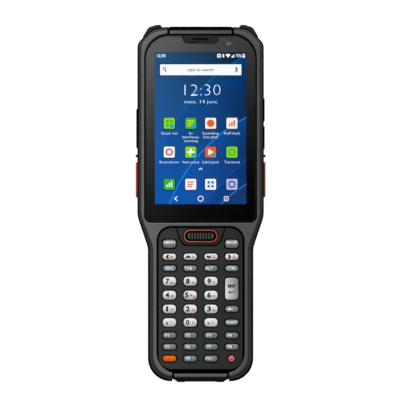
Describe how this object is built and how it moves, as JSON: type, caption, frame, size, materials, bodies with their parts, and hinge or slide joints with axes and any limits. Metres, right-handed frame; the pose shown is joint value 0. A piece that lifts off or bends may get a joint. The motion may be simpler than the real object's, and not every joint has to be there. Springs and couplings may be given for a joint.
{
  "type": "portable data terminal",
  "caption": "Rugged handheld data terminal with a touch screen, a full keypad, side triggers and a scanner window in its top end.",
  "frame": {"origin": "under the middle of the body, on the plane that its back rests on", "axes": "+Z out of the screen, +Y towards the scanner end, +X to the right seen from the front"},
  "size_m": [0.0742, 0.2038, 0.0291],
  "materials": {
    "frame_plastic": "fine grained, satin",
    "housing_plastic": "grained, matt",
    "cap_plastic": "fine grained, satin",
    "bumper_rubber": "matt",
    "cover_glass": "polished",
    "display": "lit screen",
    "circuit_board": "solder mask",
    "panel_plastic": "fine grained, satin",
    "silicone_mat": "matt",
    "window_glass": "dark red tint, polished",
    "engine_metal": "black anodised",
    "screw_steel": "blackened",
    "camera_glass": "polished",
    "scan_rubber": "ribbed, matt",
    "ring_plastic": "translucent orange",
    "trigger_rubber": "matt orange red",
    "side_key_rubber": "matt",
    "battery_plastic": "grained, matt",
    "latch_plastic": "grained, matt",
    "cover_rubber": "satin",
    "white_key": "satin",
    "grey_key": "satin",
    "orange_key": "satin",
    "red_key": "satin"
  },
  "bodies": {
    "housing": {"front_frame": "frame_plastic", "rear_housing": "housing_plastic", "top_cap": "cap_plastic", "corner_bumpers": "bumper_rubber", "screen_glass": "cover_glass", "lcd_module": "display", "main_board": "circuit_board", "keypad_panel": "panel_plastic", "keypad_membrane": "silicone_mat", "scan_window": "window_glass", "scan_engine": "engine_metal", "housing_screws": "screw_steel", "rear_camera": "camera_glass", "scan_ring": "ring_plastic"},
    "key_menu": {"key_menu": "grey_key"},
    "key_back": {"key_back": "grey_key"},
    "key_left": {"key_left": "white_key"},
    "key_up": {"key_up": "white_key"},
    "key_down": {"key_down": "white_key"},
    "key_right": {"key_right": "white_key"},
    "key_esc": {"key_esc": "grey_key"},
    "key_tab": {"key_tab": "grey_key"},
    "key_alt": {"key_alt": "grey_key"},
    "key_ctrl": {"key_ctrl": "grey_key"},
    "key_7": {"key_7": "white_key"},
    "key_8": {"key_8": "white_key"},
    "key_9": {"key_9": "white_key"},
    "key_enter": {"key_enter": "white_key"},
    "key_4": {"key_4": "white_key"},
    "key_5": {"key_5": "white_key"},
    "key_6": {"key_6": "white_key"},
    "key_1": {"key_1": "white_key"},
    "key_2": {"key_2": "white_key"},
    "key_3": {"key_3": "white_key"},
    "key_backspace": {"key_backspace": "grey_key"},
    "key_star": {"key_star": "white_key"},
    "key_0": {"key_0": "white_key"},
    "key_dot": {"key_dot": "white_key"},
    "key_shift": {"key_shift": "grey_key"},
    "key_f1": {"key_f1": "grey_key"},
    "key_f2": {"key_f2": "grey_key"},
    "key_f3": {"key_f3": "grey_key"},
    "key_f4": {"key_f4": "grey_key"},
    "key_f5": {"key_f5": "grey_key"},
    "key_f6": {"key_f6": "grey_key"},
    "key_f7": {"key_f7": "grey_key"},
    "key_f8": {"key_f8": "grey_key"},
    "key_f9": {"key_f9": "grey_key"},
    "key_f10": {"key_f10": "grey_key"},
    "key_fn": {"key_fn": "orange_key"},
    "key_power": {"key_power": "red_key"},
    "scan_button": {"scan_button": "scan_rubber"},
    "trigger_left": {"trigger_left": "trigger_rubber"},
    "trigger_right": {"trigger_right": "trigger_rubber"},
    "side_key_left": {"side_key_left": "side_key_rubber"},
    "side_key_upper_right": {"side_key_upper_right": "side_key_rubber"},
    "side_key_lower_right": {"side_key_lower_right": "side_key_rubber"},
    "battery_pack": {"battery_pack": "battery_plastic"},
    "battery_latch": {"battery_latch": "latch_plastic"},
    "port_cover": {"port_cover": "cover_rubber"}
  },
  "joints": [
    {"name": "battery_tilt", "type": "hinge", "parent": "housing", "child": "battery_pack", "pos_m": [0, 0.022, 0.0065], "axis": [1, 0, 0], "range_deg": [0, 18]},
    {"name": "port_cover_hinge", "type": "hinge", "parent": "housing", "child": "port_cover", "pos_m": [0, -0.1002, 0.0066], "axis": [1, 0, 0], "range_deg": [0, 90]},
    {"name": "scan_button_press", "type": "slide", "parent": "housing", "child": "scan_button", "axis": [0, 0, -1], "range_m": [0, 0.0007], "stiffness_N_per_m": 2500},
    {"name": "trigger_left_press", "type": "slide", "parent": "housing", "child": "trigger_left", "axis": [1, 0, 0], "range_m": [0, 0.0005], "stiffness_N_per_m": 4000},
    {"name": "trigger_right_press", "type": "slide", "parent": "housing", "child": "trigger_right", "axis": [-1, 0, 0], "range_m": [0, 0.0005], "stiffness_N_per_m": 4000},
    {"name": "side_key_left_press", "type": "slide", "parent": "housing", "child": "side_key_left", "axis": [1, 0, 0], "range_m": [0, 0.0004], "stiffness_N_per_m": 4000},
    {"name": "side_key_upper_right_press", "type": "slide", "parent": "housing", "child": "side_key_upper_right", "axis": [-1, 0, 0], "range_m": [0, 0.0003], "stiffness_N_per_m": 4000},
    {"name": "side_key_lower_right_press", "type": "slide", "parent": "housing", "child": "side_key_lower_right", "axis": [-1, 0, 0], "range_m": [0, 0.0003], "stiffness_N_per_m": 4000},
    {"name": "battery_latch_slide", "type": "slide", "parent": "housing", "child": "battery_latch", "axis": [0, -1, 0], "range_m": [0, 0.002], "stiffness_N_per_m": 600},
    {"name": "key_menu_press", "type": "slide", "parent": "housing", "child": "key_menu", "axis": [0, 0, -1], "range_m": [0, 0.0006], "stiffness_N_per_m": 2000},
    {"name": "key_back_press", "type": "slide", "parent": "housing", "child": "key_back", "axis": [0, 0, -1], "range_m": [0, 0.0006], "stiffness_N_per_m": 2000},
    {"name": "key_left_press", "type": "slide", "parent": "housing", "child": "key_left", "axis": [0, 0, -1], "range_m": [0, 0.0006], "stiffness_N_per_m": 2000},
    {"name": "key_up_press", "type": "slide", "parent": "housing", "child": "key_up", "axis": [0, 0, -1], "range_m": [0, 0.0006], "stiffness_N_per_m": 2000},
    {"name": "key_down_press", "type": "slide", "parent": "housing", "child": "key_down", "axis": [0, 0, -1], "range_m": [0, 0.0006], "stiffness_N_per_m": 2000},
    {"name": "key_right_press", "type": "slide", "parent": "housing", "child": "key_right", "axis": [0, 0, -1], "range_m": [0, 0.0006], "stiffness_N_per_m": 2000},
    {"name": "key_esc_press", "type": "slide", "parent": "housing", "child": "key_esc", "axis": [0, 0, -1], "range_m": [0, 0.0006], "stiffness_N_per_m": 2000},
    {"name": "key_tab_press", "type": "slide", "parent": "housing", "child": "key_tab", "axis": [0, 0, -1], "range_m": [0, 0.0006], "stiffness_N_per_m": 2000},
    {"name": "key_alt_press", "type": "slide", "parent": "housing", "child": "key_alt", "axis": [0, 0, -1], "range_m": [0, 0.0006], "stiffness_N_per_m": 2000},
    {"name": "key_ctrl_press", "type": "slide", "parent": "housing", "child": "key_ctrl", "axis": [0, 0, -1], "range_m": [0, 0.0006], "stiffness_N_per_m": 2000},
    {"name": "key_7_press", "type": "slide", "parent": "housing", "child": "key_7", "axis": [0, 0, -1], "range_m": [0, 0.0006], "stiffness_N_per_m": 2000},
    {"name": "key_8_press", "type": "slide", "parent": "housing", "child": "key_8", "axis": [0, 0, -1], "range_m": [0, 0.0006], "stiffness_N_per_m": 2000},
    {"name": "key_9_press", "type": "slide", "parent": "housing", "child": "key_9", "axis": [0, 0, -1], "range_m": [0, 0.0006], "stiffness_N_per_m": 2000},
    {"name": "key_enter_press", "type": "slide", "parent": "housing", "child": "key_enter", "axis": [0, 0, -1], "range_m": [0, 0.0006], "stiffness_N_per_m": 2000},
    {"name": "key_4_press", "type": "slide", "parent": "housing", "child": "key_4", "axis": [0, 0, -1], "range_m": [0, 0.0006], "stiffness_N_per_m": 2000},
    {"name": "key_5_press", "type": "slide", "parent": "housing", "child": "key_5", "axis": [0, 0, -1], "range_m": [0, 0.0006], "stiffness_N_per_m": 2000},
    {"name": "key_6_press", "type": "slide", "parent": "housing", "child": "key_6", "axis": [0, 0, -1], "range_m": [0, 0.0006], "stiffness_N_per_m": 2000},
    {"name": "key_1_press", "type": "slide", "parent": "housing", "child": "key_1", "axis": [0, 0, -1], "range_m": [0, 0.0006], "stiffness_N_per_m": 2000},
    {"name": "key_2_press", "type": "slide", "parent": "housing", "child": "key_2", "axis": [0, 0, -1], "range_m": [0, 0.0006], "stiffness_N_per_m": 2000},
    {"name": "key_3_press", "type": "slide", "parent": "housing", "child": "key_3", "axis": [0, 0, -1], "range_m": [0, 0.0006], "stiffness_N_per_m": 2000},
    {"name": "key_backspace_press", "type": "slide", "parent": "housing", "child": "key_backspace", "axis": [0, 0, -1], "range_m": [0, 0.0006], "stiffness_N_per_m": 2000},
    {"name": "key_star_press", "type": "slide", "parent": "housing", "child": "key_star", "axis": [0, 0, -1], "range_m": [0, 0.0006], "stiffness_N_per_m": 2000},
    {"name": "key_0_press", "type": "slide", "parent": "housing", "child": "key_0", "axis": [0, 0, -1], "range_m": [0, 0.0006], "stiffness_N_per_m": 2000},
    {"name": "key_dot_press", "type": "slide", "parent": "housing", "child": "key_dot", "axis": [0, 0, -1], "range_m": [0, 0.0006], "stiffness_N_per_m": 2000},
    {"name": "key_shift_press", "type": "slide", "parent": "housing", "child": "key_shift", "axis": [0, 0, -1], "range_m": [0, 0.0006], "stiffness_N_per_m": 2000},
    {"name": "key_f1_press", "type": "slide", "parent": "housing", "child": "key_f1", "axis": [0, 0, -1], "range_m": [0, 0.0006], "stiffness_N_per_m": 2000},
    {"name": "key_f2_press", "type": "slide", "parent": "housing", "child": "key_f2", "axis": [0, 0, -1], "range_m": [0, 0.0006], "stiffness_N_per_m": 2000},
    {"name": "key_f3_press", "type": "slide", "parent": "housing", "child": "key_f3", "axis": [0, 0, -1], "range_m": [0, 0.0006], "stiffness_N_per_m": 2000},
    {"name": "key_f4_press", "type": "slide", "parent": "housing", "child": "key_f4", "axis": [0, 0, -1], "range_m": [0, 0.0006], "stiffness_N_per_m": 2000},
    {"name": "key_f5_press", "type": "slide", "parent": "housing", "child": "key_f5", "axis": [0, 0, -1], "range_m": [0, 0.0006], "stiffness_N_per_m": 2000},
    {"name": "key_f6_press", "type": "slide", "parent": "housing", "child": "key_f6", "axis": [0, 0, -1], "range_m": [0, 0.0006], "stiffness_N_per_m": 2000},
    {"name": "key_f7_press", "type": "slide", "parent": "housing", "child": "key_f7", "axis": [0, 0, -1], "range_m": [0, 0.0006], "stiffness_N_per_m": 2000},
    {"name": "key_f8_press", "type": "slide", "parent": "housing", "child": "key_f8", "axis": [0, 0, -1], "range_m": [0, 0.0006], "stiffness_N_per_m": 2000},
    {"name": "key_f9_press", "type": "slide", "parent": "housing", "child": "key_f9", "axis": [0, 0, -1], "range_m": [0, 0.0006], "stiffness_N_per_m": 2000},
    {"name": "key_f10_press", "type": "slide", "parent": "housing", "child": "key_f10", "axis": [0, 0, -1], "range_m": [0, 0.0006], "stiffness_N_per_m": 2000},
    {"name": "key_fn_press", "type": "slide", "parent": "housing", "child": "key_fn", "axis": [0, 0, -1], "range_m": [0, 0.0006], "stiffness_N_per_m": 2000},
    {"name": "key_power_press", "type": "slide", "parent": "housing", "child": "key_power", "axis": [0, 0, -1], "range_m": [0, 0.0006], "stiffness_N_per_m": 2000}
  ]
}
